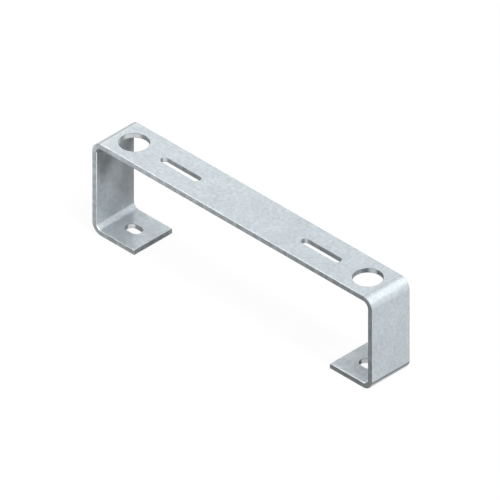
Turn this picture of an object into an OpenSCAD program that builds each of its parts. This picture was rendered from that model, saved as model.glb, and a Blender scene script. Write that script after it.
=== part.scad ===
// Raised mounting bracket: one flat strip folded into a bridge with its feet turned in.
// The round holes in the top stand right over the slots in the feet, so that a socket
// reaches the screws from above. X runs along the strip, Y across it, and Z is up.
// The origin is on the mounting surface, under the middle of the bracket.

/* [Overall size] */
// Length over the outer faces of the two legs
bracket_length = 213; // [198:1:320]
// Width of the strip
strip_width = 29; // [24:0.5:60]
// Height of the top face above the mounting surface
bracket_height = 60; // [20:1:150]
// Length of each foot, from the outer face of its leg to its tip
foot_length = 32; // [26:0.5:60]

/* [Sheet] */
// Thickness of the strip
sheet_thickness = 3; // [2:0.25:4]
// Radius on the inside of each fold
fold_inner_radius = 3.75; // [1:0.25:5]
// Radius that slitting and punching leave on the cut edges
edge_radius = 0.3; // [0.1:0.05:0.6]

/* [Fixing points] */
// Distance from the outer face of each leg to its fixing point
fixing_inset = 17.5; // [16:0.5:20]
// Diameter of the access hole in the top over each fixing point
access_hole_diameter = 17; // [10:0.5:19]
// Width of the slot in each foot
foot_slot_width = 7.2; // [4:0.1:10]
// Length of the slot in each foot, over its round ends
foot_slot_length = 10.5; // [8:0.5:16]

/* [Slots in the top] */
// Width of each slot
top_slot_width = 4.8; // [3:0.1:10]
// Length of each slot, over its round ends
top_slot_length = 29; // [12:0.5:44]
// Distance between the middles of the two slots
top_slot_spacing = 107; // [36:1:124]

/* [Hidden] */
$fn = 96;
// How far a cutter runs past the faces that it cuts through
cut_margin = 1;
right_angle = 90;
half_turn = 180;

fold_outer_radius = fold_inner_radius + sheet_thickness;
// Middle of a leg's folds, out from the middle of the bracket
fold_centre_x = bracket_length / 2 - fold_outer_radius;
leg_flat_height = bracket_height - 2 * fold_outer_radius;
foot_flat_length = foot_length - fold_outer_radius;
foot_tip_x = bracket_length / 2 - foot_length;
fixing_x = bracket_length / 2 - fixing_inset;
top_underside_z = bracket_height - sheet_thickness;

// A rectangle centred across, standing on its lower edge, with its four corners rounded
module rounded_rectangle(width, height) {
    core_width = width - 2 * edge_radius;
    core_height = height - 2 * edge_radius;
    translate([-width / 2, edge_radius])
        square([width, core_height]);
    translate([-core_width / 2, 0])
        square([core_width, height]);
    for (x = [-core_width / 2, core_width / 2], y = [edge_radius, height - edge_radius])
        translate([x, y])
            circle(r = edge_radius);
}

// The strip cut across: its width along the first axis, its thickness along the second
module strip_section() {
    rounded_rectangle(strip_width, sheet_thickness);
}

// A flat stretch of strip that starts at the origin, runs along +X and lies on z = 0
module flat(run) {
    rotate([right_angle, 0, right_angle])
        linear_extrude(height = run)
            strip_section();
}

// A quarter turn of strip about the Y axis. Angles count from +X up towards +Z.
module fold(start_angle) {
    rotate([right_angle, 0, 0])
        rotate_extrude(angle = right_angle, start = start_angle)
            translate([fold_inner_radius, 0])
                rotate(-right_angle)
                    strip_section();
}

// The flat of the +X foot, from its tip out to the lower fold, with the cut end rounded too
module foot_flat() {
    intersection() {
        translate([foot_tip_x, 0, 0])
            flat(foot_flat_length);
        translate([foot_tip_x + foot_length / 2, strip_width / 2, 0])
            rotate([right_angle, 0, 0])
                linear_extrude(height = strip_width)
                    rounded_rectangle(foot_length, sheet_thickness);
    }
}

// One leg with its two folds and its foot, on the +X side
module leg_and_foot() {
    translate([fold_centre_x, 0, top_underside_z - fold_inner_radius])
        fold(0);
    translate([bracket_length / 2, 0, fold_outer_radius])
        rotate([0, -right_angle, 0])
            flat(leg_flat_height);
    translate([fold_centre_x, 0, fold_outer_radius])
        fold(-right_angle);
    foot_flat();
}

// The whole strip before its holes are punched
module folded_strip() {
    translate([-fold_centre_x, 0, top_underside_z])
        flat(2 * fold_centre_x);
    leg_and_foot();
    mirror([1, 0, 0])
        leg_and_foot();
}

// Half of a hole seen from the side, from its middle out to its wall at the given radius.
// The sheet lies from y = 0 up to its thickness, and its rounded edges flare both mouths.
module hole_half_section(radius) {
    flare_height = edge_radius + cut_margin;
    translate([0, -cut_margin])
        square([radius, sheet_thickness + 2 * cut_margin]);
    translate([radius, sheet_thickness / 2])
        for (face = [0, 1])
            mirror([0, face])
                translate([0, sheet_thickness / 2 - edge_radius])
                    difference() {
                        square([edge_radius, flare_height]);
                        translate([edge_radius, 0])
                            circle(r = edge_radius);
                    }
}

// A round hole through the sheet, with its middle at the origin
module round_hole_cutter(diameter) {
    rotate_extrude()
        hole_half_section(diameter / 2);
}

// A slot along X with its middle at the origin: two half rounds and the straight part between
module slot_cutter(width, length) {
    straight = length - width;
    for (end = [0, 1])
        mirror([end, 0, 0])
            translate([straight / 2, 0, 0])
                rotate_extrude(angle = half_turn, start = -right_angle)
                    hole_half_section(width / 2);
    for (side = [0, 1])
        mirror([0, side, 0])
            translate([-straight / 2, 0, 0])
                rotate([right_angle, 0, right_angle])
                    linear_extrude(height = straight)
                        hole_half_section(width / 2);
}

module bracket() {
    color("gainsboro")
        difference() {
            folded_strip();
            for (side = [0, 1])
                mirror([side, 0, 0]) {
                    translate([fixing_x, 0, top_underside_z])
                        round_hole_cutter(access_hole_diameter);
                    translate([top_slot_spacing / 2, 0, top_underside_z])
                        slot_cutter(top_slot_width, top_slot_length);
                    translate([fixing_x, 0, 0])
                        slot_cutter(foot_slot_width, foot_slot_length);
                }
        }
}

bracket();
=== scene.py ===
import math

import bmesh
import bpy
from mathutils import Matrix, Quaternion, Vector


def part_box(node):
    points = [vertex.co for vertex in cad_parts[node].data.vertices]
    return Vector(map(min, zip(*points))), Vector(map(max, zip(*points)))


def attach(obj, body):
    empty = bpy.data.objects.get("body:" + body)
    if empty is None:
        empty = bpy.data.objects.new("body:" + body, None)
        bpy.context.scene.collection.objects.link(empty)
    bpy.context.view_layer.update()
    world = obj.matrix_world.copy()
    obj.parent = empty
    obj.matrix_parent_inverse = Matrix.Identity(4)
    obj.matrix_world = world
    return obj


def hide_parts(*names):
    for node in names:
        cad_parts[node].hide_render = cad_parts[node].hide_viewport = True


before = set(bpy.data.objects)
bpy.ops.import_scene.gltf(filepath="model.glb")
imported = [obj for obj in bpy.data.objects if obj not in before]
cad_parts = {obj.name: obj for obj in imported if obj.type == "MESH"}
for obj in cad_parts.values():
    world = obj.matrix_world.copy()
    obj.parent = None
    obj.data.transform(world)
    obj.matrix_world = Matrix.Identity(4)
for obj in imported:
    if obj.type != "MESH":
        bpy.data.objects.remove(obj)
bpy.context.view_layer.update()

mm = 0.001
white = (1, 1, 1, 1)
low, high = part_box("bracket")     # the strip takes its length, width and height from here

strip = {
    "thickness": 3.0 * mm,
    "foldRadius": 6.75 * mm,      # outside of each fold
    "footLength": 32.0 * mm,      # from the outside of the leg to the tip
    "foldSteps": 16,
    "edgeRadius": 0.2 * mm,       # left by slitting and punching, as crisp as the photograph shows it
    "edgeSegments": 3,
    "roundedFrom": 50,            # degrees: an edge that turns further than this is rounded
}

holes = {
    "fixingInset": 17.5 * mm,     # from the outside of the leg
    "accessDiameter": 17.0 * mm,
    "footSlotWidth": 7.2 * mm,
    "footSlotLength": 10.5 * mm,
    "topSlotWidth": 4.8 * mm,
    "topSlotLength": 29.0 * mm,
    "topSlotSpacing": 107.0 * mm,
    "roundPoints": 96,
    "slotPoints": 64,
    "cutterHeight": 12.0 * mm,
}

tiny = 0.01 * mm
weld = 0.001 * mm                 # points nearer than this become one after punching
foldX = high.x - strip["foldRadius"]
topFoldZ = high.z - strip["foldRadius"]
footFoldZ = low.z + strip["foldRadius"]
fixingX = high.x - holes["fixingInset"]
slotX = holes["topSlotSpacing"] / 2

# along the middle of the sheet, as if it lay flat, from the middle of the top
middleRadius = strip["foldRadius"] - strip["thickness"] / 2
foldRun = middleRadius * math.pi / 2
legRun = topFoldZ - footFoldZ
legStart = foldX + foldRun
lowerFold = legStart + legRun


def startFresh():
    if bpy.context.mode != "OBJECT":
        bpy.ops.object.mode_set(mode="OBJECT")
    bpy.ops.object.select_all(action="DESELECT")


def makeActive(piece):
    startFresh()
    piece.select_set(True)
    bpy.context.view_layer.objects.active = piece


def pick(piece, wanted):
    # in edit mode, selects the wanted points, with the edges and faces between them
    mesh = bmesh.from_edit_mesh(piece.data)
    for part in (*mesh.faces, *mesh.edges, *mesh.verts):
        part.select = False
    for point in mesh.verts:
        point.select = wanted(point.co)
    mesh.select_mode = {"VERT"}
    mesh.select_flush_mode()
    bmesh.update_edit_mesh(piece.data)


def applyModifier(piece, kind, **settings):
    makeActive(piece)
    bpy.ops.object.modifier_add(type=kind)
    modifier = piece.modifiers[-1]
    for name, value in settings.items():
        setattr(modifier, name, value)
    bpy.ops.object.modifier_apply(modifier=modifier.name)


def makeFoldedSheet():
    # half of the strip's outer face, drawn out from the middle of the top to the tip of a foot
    startFresh()
    bpy.ops.mesh.primitive_plane_add(size=1, location=(foldX / 2, 0, high.z))
    piece = bpy.context.object
    piece.name = "foldedStrip"
    piece.scale = (foldX, high.y - low.y, 1)
    bpy.ops.object.transform_apply(location=True, rotation=True, scale=True)
    bpy.ops.object.mode_set(mode="EDIT")
    pick(piece, lambda co: co.x > foldX - tiny)
    fold = {"steps": strip["foldSteps"], "angle": -math.pi / 2, "axis": (0, 1, 0)}
    bpy.ops.mesh.spin(center=(foldX, 0, topFoldZ), **fold)
    bpy.ops.mesh.extrude_region_move(TRANSFORM_OT_translate={"value": (0, 0, footFoldZ - topFoldZ)})
    bpy.ops.mesh.spin(center=(foldX, 0, footFoldZ), **fold)
    footFlat = strip["footLength"] - strip["foldRadius"]
    bpy.ops.mesh.extrude_region_move(TRANSFORM_OT_translate={"value": (-footFlat, 0, 0)})
    for x in (fixingX, slotX):    # an edge across the middle of each hole keeps its rim clean
        bpy.ops.mesh.select_all(action="SELECT")
        bpy.ops.mesh.bisect(plane_co=(x, 0, 0), plane_no=(1, 0, 0))
    bpy.ops.mesh.select_all(action="SELECT")
    bpy.ops.mesh.remove_doubles(threshold=tiny)
    bpy.ops.mesh.normals_make_consistent(inside=False)
    bpy.ops.object.mode_set(mode="OBJECT")
    applyModifier(piece, "MIRROR", use_clip=True)
    applyModifier(piece, "SOLIDIFY", thickness=strip["thickness"], offset=-1, use_even_offset=True)
    return piece


def makeRoundCutter(x, z, diameter):
    startFresh()
    bpy.ops.mesh.primitive_cylinder_add(vertices=holes["roundPoints"], radius=diameter / 2,
                                        depth=holes["cutterHeight"], location=(x, 0, z))
    bpy.ops.object.transform_apply(location=True, rotation=True, scale=True)
    return bpy.context.object


def makeSlotCutter(x, z, width, length):
    # a cylinder whose two halves are drawn apart along the strip
    startFresh()
    points = holes["slotPoints"]
    halfStep = math.pi / points
    bpy.ops.mesh.primitive_cylinder_add(vertices=points, radius=width / 2 / math.cos(halfStep),
                                        depth=holes["cutterHeight"], location=(x, 0, z),
                                        rotation=(0, 0, halfStep))
    bpy.ops.object.transform_apply(location=True, rotation=True, scale=True)
    cutter = bpy.context.object
    bpy.ops.object.mode_set(mode="EDIT")
    draw = (length - width) / 2
    for side in (-1, 1):
        pick(cutter, lambda co: (co.x - x) * side > 0)
        bpy.ops.transform.translate(value=(side * draw, 0, 0))
    bpy.ops.object.mode_set(mode="OBJECT")
    return cutter


def punch(piece, cutter):
    applyModifier(piece, "BOOLEAN", operation="DIFFERENCE", object=cutter, solver="EXACT")
    bpy.data.objects.remove(cutter)


def punchHoles(piece):
    topZ = high.z - strip["thickness"] / 2
    footZ = low.z + strip["thickness"] / 2
    for side in (-1, 1):
        punch(piece, makeRoundCutter(side * fixingX, topZ, holes["accessDiameter"]))
        punch(piece, makeSlotCutter(side * slotX, topZ,
                                    holes["topSlotWidth"], holes["topSlotLength"]))
        punch(piece, makeSlotCutter(side * fixingX, footZ,
                                    holes["footSlotWidth"], holes["footSlotLength"]))


def breakEdges(piece):
    makeActive(piece)
    bpy.ops.object.mode_set(mode="EDIT")
    bpy.ops.mesh.select_all(action="SELECT")
    bpy.ops.mesh.remove_doubles(threshold=weld)
    bpy.ops.object.mode_set(mode="OBJECT")
    bpy.ops.object.shade_smooth()
    applyModifier(piece, "BEVEL", width=strip["edgeRadius"], segments=strip["edgeSegments"],
                  limit_method="ANGLE", angle_limit=math.radians(strip["roundedFrom"]),
                  harden_normals=True)


def placeOnFlatStrip(point):
    # where a point lay before folding: along the strip, across it, and down from the outer face
    side = 1 if point.x >= 0 else -1
    x = abs(point.x)
    if x <= foldX and point.z > topFoldZ:
        along, depth = x, high.z - point.z
    elif x <= foldX and point.z < footFoldZ:
        along, depth = lowerFold + foldRun + (foldX - x), point.z - low.z
    elif point.z > topFoldZ or point.z < footFoldZ:
        upper = point.z > topFoldZ
        rise = point.z - (topFoldZ if upper else footFoldZ)
        reach = math.hypot(x - foldX, rise)
        turned = math.atan2(x - foldX, rise)
        along = foldX + middleRadius * turned + (0 if upper else legRun)
        depth = strip["foldRadius"] - reach
    else:
        along, depth = legStart + topFoldZ - point.z, high.x - x
    return side * along, point.y, depth


paintedWallPatches = {
    # painted highlight and painted shade on the hole walls, in degrees round the hole: middle, reach,
    # and how strong the painted highlight, or below 0 how much painted shade
    "leftHole": ((140, 33, 0.64), (207, 12, 0.30)),
    "rightHole": ((116, 16, 0.64), (146, 13, -0.34), (193, 8, -0.40)),
    "leftSlot": ((129, 31, 0.62), (184, 24, -0.58)),
    "rightSlot": ((121, 23, 0.62), (176, 38, -0.47)),
    "footSlots": ((140, 35, 0.90),),
    "fade": 14,                   # degrees over which a patch ends
}


def paintedWallShading(point):
    # how much painted highlight lies on the wall of a hole here, or below 0 how much painted shade
    x = abs(point.x)
    inTop = point.z > topFoldZ
    if inTop and x > (fixingX + slotX) / 2:
        middle, straight, reach = fixingX, 0, holes["accessDiameter"] / 2
        patches = paintedWallPatches["leftHole" if point.x < 0 else "rightHole"]
    elif inTop:
        middle, reach = slotX, holes["topSlotLength"] / 2
        straight = holes["topSlotLength"] - holes["topSlotWidth"]
        patches = paintedWallPatches["leftSlot" if point.x < 0 else "rightSlot"]
    else:
        middle, reach = fixingX, holes["footSlotLength"] / 2
        straight = holes["footSlotLength"] - holes["footSlotWidth"]
        patches = paintedWallPatches["footSlots"]
    widest = holes["accessDiameter"] / 2
    if abs(x - middle) > reach + tiny or abs(point.y) > widest + tiny:
        return 0.0
    out = point.x - math.copysign(middle, point.x)
    out = math.copysign(max(abs(out) - straight / 2, 0), out)
    angle = math.degrees(math.atan2(point.y, out)) % 360
    wallShading = 0.0
    for place, breadth, depth in patches:    # half there at its reach
        share = (breadth - abs(angle - place)) / paintedWallPatches["fade"] + 0.5
        wallShading += depth * min(max(share, 0), 1)
    return wallShading


belowFace = {
    # how deep in the sheet a point lies, in edge radii, before it counts as
    "cutFace": 0.1,
    "wall": 0.7,
}


def noteFlatPlaces(piece):
    # for the material: place in the flat strip, whether on a cut face, and the painted highlight and
    # shade on the hole walls
    marks = piece.data.attributes
    for name, kind in (("flatPlace", "FLOAT_VECTOR"), ("cutFace", "FLOAT"), ("paintedLight", "FLOAT")):
        marks.new(name, kind, "POINT")
    for point in piece.data.vertices:
        place = placeOnFlatStrip(point.co)
        inSheet = min(place[2], strip["thickness"] - place[2]) / strip["edgeRadius"]
        wallShading = paintedWallShading(point.co) if inSheet > belowFace["wall"] else 0.0
        marks["flatPlace"].data[point.index].vector = place
        marks["cutFace"].data[point.index].value = float(inSheet > belowFace["cutFace"])
        marks["paintedLight"].data[point.index].value = wallShading


coating = {
    "colour": (0.630, 0.700, 0.752),
    "cloudColour": (0.640, 0.712, 0.742),
    "metallic": 0.04,
    "roughness": 0.20,
    "roughnessSpread": 0.04,
    "clouds": {"perMetre": 70, "detail": 3.0},
    "cloudDepth": 0.045,
    "mottles": {"perMetre": 500, "detail": 4.0, "roughness": 0.7},
    "mottleDepth": 0.14,
    "spanglesPerMetre": 560,
    "spangleDepth": 0.035,
    "rollLines": {"perMetre": 600, "detail": 2.0, "stretch": (0.08, 1, 1)},
    "rollLineDepth": 0.012,
    "waves": {"perMetre": 300, "detail": 1.0},
    "waveHeight": 0.005 * mm,
    "noiseReach": 0.2,            # how far a noise strays from a half
    "spangleReach": 0.5,
}

zincPaintedShading = {
    # painted light and shade on the zinc: how much brighter or duller it is drawn in places, and where
    "bright": 1.18,               # painted light inside the legs, low down and towards the front
    "dull": 0.78,                 # painted shade above a slanting line
    "slope": 0.75,                # the line moves this far across for each step down the leg
    "lineStart": 6.0 * mm,        # its place across the strip, at the start of the lower fold
    "lineEnd": 14.5 * mm,
    "back": 0.86,                 # painted shade along the back edge
    "upper": 0.88,                # and painted shade at the top of the leg
    "upperReach": 10 * mm,        # down from the upper fold
    "upperFade": 12 * mm,
    "bendFade": 4 * mm,           # between the top and the upper fold
    "foldStart": 1.4 * mm,        # the painted light and shade leave out the lower fold between these
    "foldEnd": 6.5 * mm,
    "foldFade": 1.0 * mm,
    "corner": 0.68,               # painted shade in the left foot's front corner by the fold
    "cornerStart": -3 * mm,       # past the start of the fold, added to the place across
    "cornerEnd": 20 * mm,
    "rightFoot": 1.15,            # the right foot has no painted corner shade and is painted a little lighter
    "topRight": 0.94,             # painted shade: the top darkens a little towards its right end
    "topPlace": -10 * mm,
    "topFade": 90 * mm,
}

foldShadeLines = {
    # painted shade: dark lines across the outer face, beside each fold
    "lowerPlace": 1.1 * mm,       # past the start of the fold
    "lowerDepth": 0.85,
    "upperPlace": 0.3 * mm,
    "upperDepth": 0.12,
    "halfWidth": 0.95 * mm,
}

cutEdge = {
    "colour": (0.438, 0.479, 0.500),  # bare steel where the strip was slit and punched
    "roughness": 0.70,
    "bands": {"perMetre": 260, "detail": 1.0, "stretch": (1, 1, 0.1)},
    "bandDepth": 0.18,
    "stria": {"perMetre": 2600, "detail": 2.0, "stretch": (1, 1, 0.06)},
    "striaDepth": 0.10,
    "striaHeight": 0.006 * mm,
    "burnishedDepth": 1.1 * mm,       # how far the blade shears before the sheet breaks
    "burnishedGain": 1.08,
    "rollOverDepth": 0.18 * mm,       # painted shade on the rounded rims, darker than the face between them
    "rimPaintedShade": 0.55,
    "topPaintedLight": 1.22,                  # painted light: the cut edge is lighter along the top than down the legs
    "topFade": 20 * mm,
    "holePaintedShade": 0.66,                 # painted shade on the walls of the access holes, against that edge
    "holeMargin": 1.0 * mm,
    "footPaintedShading": 0.88,                 # painted shade on the edges of the feet, against those of the legs
    "footStart": 6 * mm,
    "footFade": 8 * mm,
}

paintedHighlight = {
    "colour": (0.900, 0.930, 0.950),  # painted highlight: a light metallic colour for the edge lines, the fold band and the wall patches
    "metallic": 0.85,
}

edgeHighlight = {
    "fromEdge": 0.60 * mm,        # painted highlight: a light line along the inner front edges, this far in
    "fade": 0.15 * mm,
    "inSheet": 0.06 * mm,
    "right": 0.5,                 # fainter on the right leg and foot
    "onTop": 0.40,                # the same painted highlight on the top face, wider and fainter
    "topFromEdge": 0.85 * mm,
    "inTop": 0.02 * mm,
}

innerFoldHighlight = {
    "start": 1.4 * mm,            # painted highlight: a light band inside the lower fold, between start and end
    "end": 3.3 * mm,
    "fade": 1.0 * mm,
    "highlight": 0.40,
}


def makeCoating():
    material = bpy.data.materials.new("galvanisedSteel")
    material.use_nodes = True
    nodes, links = material.node_tree.nodes, material.node_tree.links
    shader = nodes["Principled BSDF"]

    def add(kind, inputs=None, **settings):
        node = nodes.new(kind)
        for name, value in settings.items():
            setattr(node, name, value)
        for name, value in (inputs or {}).items():
            if isinstance(value, bpy.types.NodeSocket):
                links.new(value, node.inputs[name])
            else:
                node.inputs[name].default_value = value
        return node

    def noted(name, output="Fac"):
        return add("ShaderNodeAttribute", attribute_name=name).outputs[output]

    def maths(operation, *values):
        return add("ShaderNodeMath", dict(enumerate(values)), operation=operation).outputs[0]

    def product(*values):
        total = values[0]
        for value in values[1:]:
            total = maths("MULTIPLY", total, value)
        return total

    def opposite(share):
        return maths("SUBTRACT", 1.0, share)

    def shown(share, gain):
        # the gain where the share is 1, and 1 where it is 0
        linked = isinstance(gain, bpy.types.NodeSocket)
        extra = maths("SUBTRACT", gain, 1.0) if linked else gain - 1
        return maths("MULTIPLY_ADD", share, extra, 1.0)

    def between(value, start, end, first=0.0, last=1.0):
        return add("ShaderNodeMapRange", {"Value": value, "From Min": start, "From Max": end,
                                          "To Min": first, "To Max": last}).outputs[0]

    def ramp(value, middle, width):
        return between(value, middle - width / 2, middle + width / 2)

    def spread(value, depth, middle=1.0, reach=coating["noiseReach"]):
        # a value near a half, drawn out to the given depth either side of the middle
        ends = {"From Min": 0.5 - reach, "From Max": 0.5 + reach,
                "To Min": middle - depth, "To Max": middle + depth}
        return add("ShaderNodeMapRange", {"Value": value, **ends}, clamp=False).outputs[0]

    def mixed(factor, first, second):
        colours = {"Factor": factor, 6: first, 7: second}
        return add("ShaderNodeMix", colours, data_type="RGBA").outputs[2]

    def mixedValue(factor, first, second):
        return add("ShaderNodeMix", {"Factor": factor, 2: first, 3: second}).outputs[0]

    def scaled(colour, factor):
        return add("ShaderNodeVectorMath", {0: colour, "Scale": factor}, operation="SCALE").outputs[0]

    # where the point lies
    place = noted("flatPlace", "Vector")
    bare = noted("cutFace")
    wallShading = noted("paintedLight")
    axes = add("ShaderNodeSeparateXYZ", {"Vector": place}).outputs
    lengthwise, across, depth = axes["X"], axes["Y"], axes["Z"]
    along = maths("ABSOLUTE", lengthwise)
    onRight = maths("GREATER_THAN", lengthwise, 0.0)
    pastFold = maths("SUBTRACT", along, lowerFold)
    inside = maths("GREATER_THAN", depth, strip["thickness"] - strip["edgeRadius"])
    outside = maths("LESS_THAN", depth, strip["edgeRadius"])
    pastBend = ramp(along, foldX, zincPaintedShading["bendFade"])

    def noise(perMetre, detail, roughness=0.5, stretch=(1, 1, 1)):
        drawn = add("ShaderNodeVectorMath", {0: place, 1: stretch}, operation="MULTIPLY").outputs[0]
        return add("ShaderNodeTexNoise", {"Vector": drawn, "Scale": perMetre, "Detail": detail,
                                          "Roughness": roughness}).outputs["Fac"]

    # painted highlights: the lines along the front edges, the band in the lower fold and the patches
    # on the hole walls
    toFront = maths("MULTIPLY", across, -1.0)
    innerEdgeHighlight = product(ramp(toFront, high.y - edgeHighlight["fromEdge"], edgeHighlight["fade"]),
                        maths("GREATER_THAN", depth, strip["thickness"] - edgeHighlight["inSheet"]),
                        maths("GREATER_THAN", along, legStart),
                        shown(onRight, edgeHighlight["right"]))
    topEdgeHighlight = product(ramp(toFront, high.y - edgeHighlight["topFromEdge"], edgeHighlight["fade"]),
                      maths("LESS_THAN", depth, edgeHighlight["inTop"]),
                      maths("LESS_THAN", along, foldX),
                      edgeHighlight["onTop"])
    innerFoldBand = product(maths("SUBTRACT", ramp(pastFold, innerFoldHighlight["start"], innerFoldHighlight["fade"]),
                          ramp(pastFold, innerFoldHighlight["end"], innerFoldHighlight["fade"])),
                    inside, innerFoldHighlight["highlight"])
    paintedLight = maths("MAXIMUM", maths("MAXIMUM", wallShading, innerFoldBand), maths("MAXIMUM", innerEdgeHighlight, topEdgeHighlight))

    # the zinc's own pattern
    clouds, mottles = noise(**coating["clouds"]), noise(**coating["mottles"])
    rollLines, waves = noise(**coating["rollLines"]), noise(**coating["waves"])
    crystals = add("ShaderNodeTexVoronoi", {"Vector": place, "Scale": coating["spanglesPerMetre"]})
    spangle = add("ShaderNodeSeparateColor", {"Color": crystals.outputs["Color"]}).outputs[0]
    zincTone = product(spread(clouds, coating["cloudDepth"]),
                       spread(mottles, coating["mottleDepth"]),
                       spread(rollLines, coating["rollLineDepth"]),
                       spread(spangle, coating["spangleDepth"], reach=coating["spangleReach"]))
    zincRoughness = spread(spangle, coating["roughnessSpread"], coating["roughness"],
                           coating["spangleReach"])

    # painted light and shade on the zinc, inside the legs and feet and along the top
    legFace = product(inside, pastBend,
                      opposite(ramp(pastFold, zincPaintedShading["foldStart"], zincPaintedShading["foldFade"])))
    footFace = product(inside, ramp(pastFold, zincPaintedShading["foldEnd"], zincPaintedShading["foldFade"]))
    topFace = product(outside, opposite(pastBend))
    slant = maths("MULTIPLY_ADD", pastFold, -zincPaintedShading["slope"], across)
    down = ramp(along, legStart + zincPaintedShading["upperReach"], zincPaintedShading["upperFade"])
    legPaintedShading = product(between(slant, zincPaintedShading["lineStart"], zincPaintedShading["lineEnd"],
                              zincPaintedShading["bright"], zincPaintedShading["dull"]),
                      between(across, 0.0, high.y, 1.0, zincPaintedShading["back"]),
                      shown(opposite(down), zincPaintedShading["upper"]))
    cornerPaintedShade = between(maths("ADD", pastFold, across), zincPaintedShading["cornerStart"],
                         zincPaintedShading["cornerEnd"], zincPaintedShading["corner"])
    footPaintedShading = mixedValue(onRight, cornerPaintedShade, zincPaintedShading["rightFoot"])
    toRight = ramp(lengthwise, zincPaintedShading["topPlace"], zincPaintedShading["topFade"])
    paintedShading = product(shown(legFace, legPaintedShading), shown(footFace, footPaintedShading),
                     shown(product(topFace, toRight), zincPaintedShading["topRight"]))

    def foldShadeLine(middle, darkening):
        off = maths("ABSOLUTE", maths("SUBTRACT", along, middle))
        ends = {"From Max": foldShadeLines["halfWidth"], "To Min": darkening, "To Max": 0.0}
        mark = add("ShaderNodeMapRange", {"Value": off, **ends}, interpolation_type="SMOOTHSTEP")
        return opposite(product(mark.outputs[0], outside))

    # painted shade: a dark line beside each fold
    marks = product(foldShadeLine(foldX + foldShadeLines["upperPlace"], foldShadeLines["upperDepth"]),
                    foldShadeLine(lowerFold + foldShadeLines["lowerPlace"], foldShadeLines["lowerDepth"]))

    # the bare steel of the cut faces, with painted light along the top and painted shade on the rims,
    # hole walls and feet
    bands, stria = noise(**cutEdge["bands"]), noise(**cutEdge["stria"])
    inSheet = maths("MINIMUM", depth, maths("SUBTRACT", strip["thickness"], depth))
    fromHole = maths("ABSOLUTE", maths("SUBTRACT", along, fixingX))
    holeReach = holes["accessDiameter"] / 2 + cutEdge["holeMargin"]
    atHole = product(maths("LESS_THAN", fromHole, holeReach),
                     maths("LESS_THAN", maths("ABSOLUTE", across), holeReach))
    onTop = opposite(ramp(along, foldX, cutEdge["topFade"]))
    inFoot = ramp(pastFold, cutEdge["footStart"], cutEdge["footFade"])
    steelTone = product(spread(bands, cutEdge["bandDepth"]),
                        spread(stria, cutEdge["striaDepth"]),
                        shown(maths("LESS_THAN", depth, cutEdge["burnishedDepth"]),
                              cutEdge["burnishedGain"]),
                        shown(maths("LESS_THAN", inSheet, cutEdge["rollOverDepth"]),
                              cutEdge["rimPaintedShade"]),
                        shown(onTop, cutEdge["topPaintedLight"]),
                        shown(atHole, cutEdge["holePaintedShade"]),
                        shown(inFoot, cutEdge["footPaintedShading"]),
                        maths("ADD", maths("MINIMUM", wallShading, 0.0), 1.0))

    zincTint = mixed(clouds, (*coating["colour"], 1), (*coating["cloudColour"], 1))
    # the zinc's grain, times the painted shade lines and the painted light and shade
    zinc = scaled(zincTint, product(zincTone, marks, paintedShading))
    steel = scaled(cutEdge["colour"], steelTone)
    colour = mixed(paintedLight, mixed(bare, zinc, steel), (*paintedHighlight["colour"], 1))
    height = mixedValue(bare, product(waves, coating["waveHeight"]),
                        product(stria, cutEdge["striaHeight"]))
    bump = add("ShaderNodeBump", {"Height": height, "Strength": 1.0, "Distance": 1.0})
    links.new(colour, shader.inputs["Base Color"])
    links.new(mixedValue(paintedLight, coating["metallic"], paintedHighlight["metallic"]), shader.inputs["Metallic"])
    links.new(mixedValue(bare, zincRoughness, cutEdge["roughness"]), shader.inputs["Roughness"])
    links.new(bump.outputs["Normal"], shader.inputs["Normal"])
    return material


foldedStrip = makeFoldedSheet()
print("strip folded")
punchHoles(foldedStrip)
print("holes punched")
breakEdges(foldedStrip)
noteFlatPlaces(foldedStrip)
foldedStrip.data.materials.clear()
foldedStrip.data.materials.append(makeCoating())
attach(foldedStrip, "root")
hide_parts("bracket")
print("strip modelled:", len(foldedStrip.data.polygons), "faces")


floorValues = {
    "size": 8.0,
    "albedo": 0.10,
    "roughness": 0.9,
    "cameraGlow": 0.93,           # how bright the camera sees it, whatever falls on it
}


def addRays(nodes, links, rays):
    # 1 for what the camera sees directly, or in a reflection, or through glass
    seen = rays.outputs["Is Camera Ray"]
    for name in ("Is Glossy Ray", "Is Transmission Ray"):
        either = nodes.new("ShaderNodeMath")
        either.operation = "MAXIMUM"
        links.new(seen, either.inputs[0])
        links.new(rays.outputs[name], either.inputs[1])
        seen = either.outputs[0]
    return seen


def makeFloor():
    startFresh()
    bpy.ops.mesh.primitive_plane_add(size=floorValues["size"], location=(0, 0, low.z))
    floor = bpy.context.object
    floor.name = "floor"
    bpy.ops.object.transform_apply(location=True, rotation=True, scale=True)
    material = bpy.data.materials.new("paleFloor")
    material.use_nodes = True
    nodes, links = material.node_tree.nodes, material.node_tree.links
    shader = nodes["Principled BSDF"]
    albedo = floorValues["albedo"]
    shader.inputs["Base Color"].default_value = (albedo, albedo, albedo, 1)
    shader.inputs["Roughness"].default_value = floorValues["roughness"]
    shader.inputs["Specular IOR Level"].default_value = 0
    shader.inputs["Emission Color"].default_value = white
    rays = nodes.new("ShaderNodeLightPath")
    seen = addRays(nodes, links, rays)
    glow = nodes.new("ShaderNodeMath")
    glow.operation = "MULTIPLY"
    glow.inputs[1].default_value = floorValues["cameraGlow"]
    links.new(seen, glow.inputs[0])
    links.new(glow.outputs[0], shader.inputs["Emission Strength"])
    floor.data.materials.append(material)


room = {
    "ambient": 0.05,              # light that falls on the strip from all round
    "seen": 1.0,                  # how bright the camera sees the room
}


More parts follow.
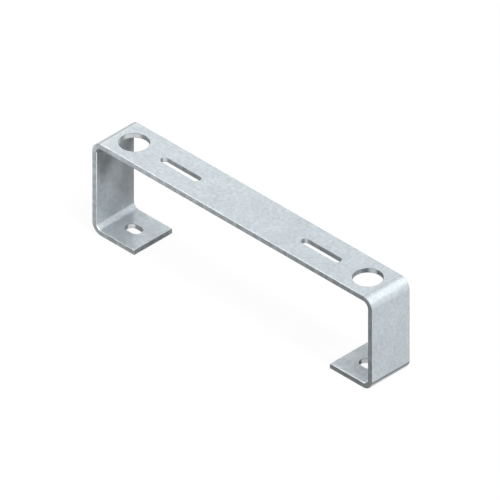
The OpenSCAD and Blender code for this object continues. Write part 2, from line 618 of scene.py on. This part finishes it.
def makeRoom():
    world = bpy.data.worlds.new("whiteRoom")
    bpy.context.scene.world = world
    world.use_nodes = True
    nodes, links = world.node_tree.nodes, world.node_tree.links
    background = nodes["Background"]
    background.inputs["Color"].default_value = white
    rays = nodes.new("ShaderNodeLightPath")
    seen = addRays(nodes, links, rays)
    strength = nodes.new("ShaderNodeMapRange")
    strength.inputs["To Min"].default_value = room["ambient"]
    strength.inputs["To Max"].default_value = room["seen"]
    links.new(seen, strength.inputs["Value"])
    links.new(strength.outputs[0], background.inputs["Strength"])


lamps = {
    # places and sizes in metres, rolls in degrees, powers in watts
    "keyLow": {"place": (3.00, 0.04, 1.71), "size": (0.90, 0.90), "roll": 0, "power": 53.0},
    "keyMiddle": {"place": (2.10, -0.95, 2.60), "size": (0.90, 0.90), "roll": 0, "power": 12.2},
    "keyHigh": {"place": (1.29, 0.04, 3.11), "size": (0.90, 0.90), "roll": 0, "power": 32.5},
    "foldStrip": {"place": (1.07, 1.33, 1.67), "size": (2.80, 0.34), "roll": -134, "power": 12.0},
    "backLeft": {"place": (-1.55, 1.60, 1.00), "size": (0.70, 0.70), "roll": 0, "power": 5.9},
    "frontLeft": {"place": (-0.30, -0.80, 0.60), "size": (0.40, 0.40), "roll": 0, "power": 1.60},
    "nearLeft": {"place": (-0.15, -0.16, 0.055), "size": (0.10, 0.10), "roll": 0, "power": 0.133},
}


def makeLamps():
    aim = Vector((0, 0, (low.z + high.z) / 2))
    for name, values in lamps.items():
        light = bpy.data.lights.new(name, "AREA")
        light.shape = "RECTANGLE"
        light.size, light.size_y = values["size"]
        light.energy = values["power"]
        lamp = bpy.data.objects.new(name, light)
        lamp.location = values["place"]
        facing = (aim - lamp.location).to_track_quat("-Z", "Y")
        lamp.rotation_euler = (facing @ Quaternion((0, 0, 1), math.radians(values["roll"]))).to_euler()
        lamp.visible_camera = False
        bpy.context.scene.collection.objects.link(lamp)


view = {
    "picture": 500,               # pixels across and down
    "pixelsPerMetre": 1856.6,
    "originAt": (250.99, 300.77),  # the pixel of the frame's origin, counted from the top left
    "turn": 45.0,                 # degrees, as is the elevation
    "elevation": 35.264,
    "distance": 1.5,              # metres from the strip to the camera
}


def makeCamera():
    data = bpy.data.cameras.new("camera")
    data.type = "ORTHO"
    data.ortho_scale = view["picture"] / view["pixelsPerMetre"]
    camera = bpy.data.objects.new("camera", data)
    bpy.context.scene.collection.objects.link(camera)
    camera.rotation_euler = (math.radians(90 - view["elevation"]), 0, math.radians(view["turn"]))
    turn = camera.rotation_euler.to_matrix()
    right, up, back = turn.col[0], turn.col[1], turn.col[2]
    middle = view["picture"] / 2
    across = (middle - view["originAt"][0]) / view["pixelsPerMetre"]
    rise = (view["originAt"][1] - middle) / view["pixelsPerMetre"]
    camera.location = right * across + up * rise + back * view["distance"]
    bpy.context.scene.camera = camera


makeFloor()
makeRoom()
makeLamps()
makeCamera()
print("studio ready:", len(lamps), "lamps")
bpy.context.scene.view_settings.view_transform = "Standard"
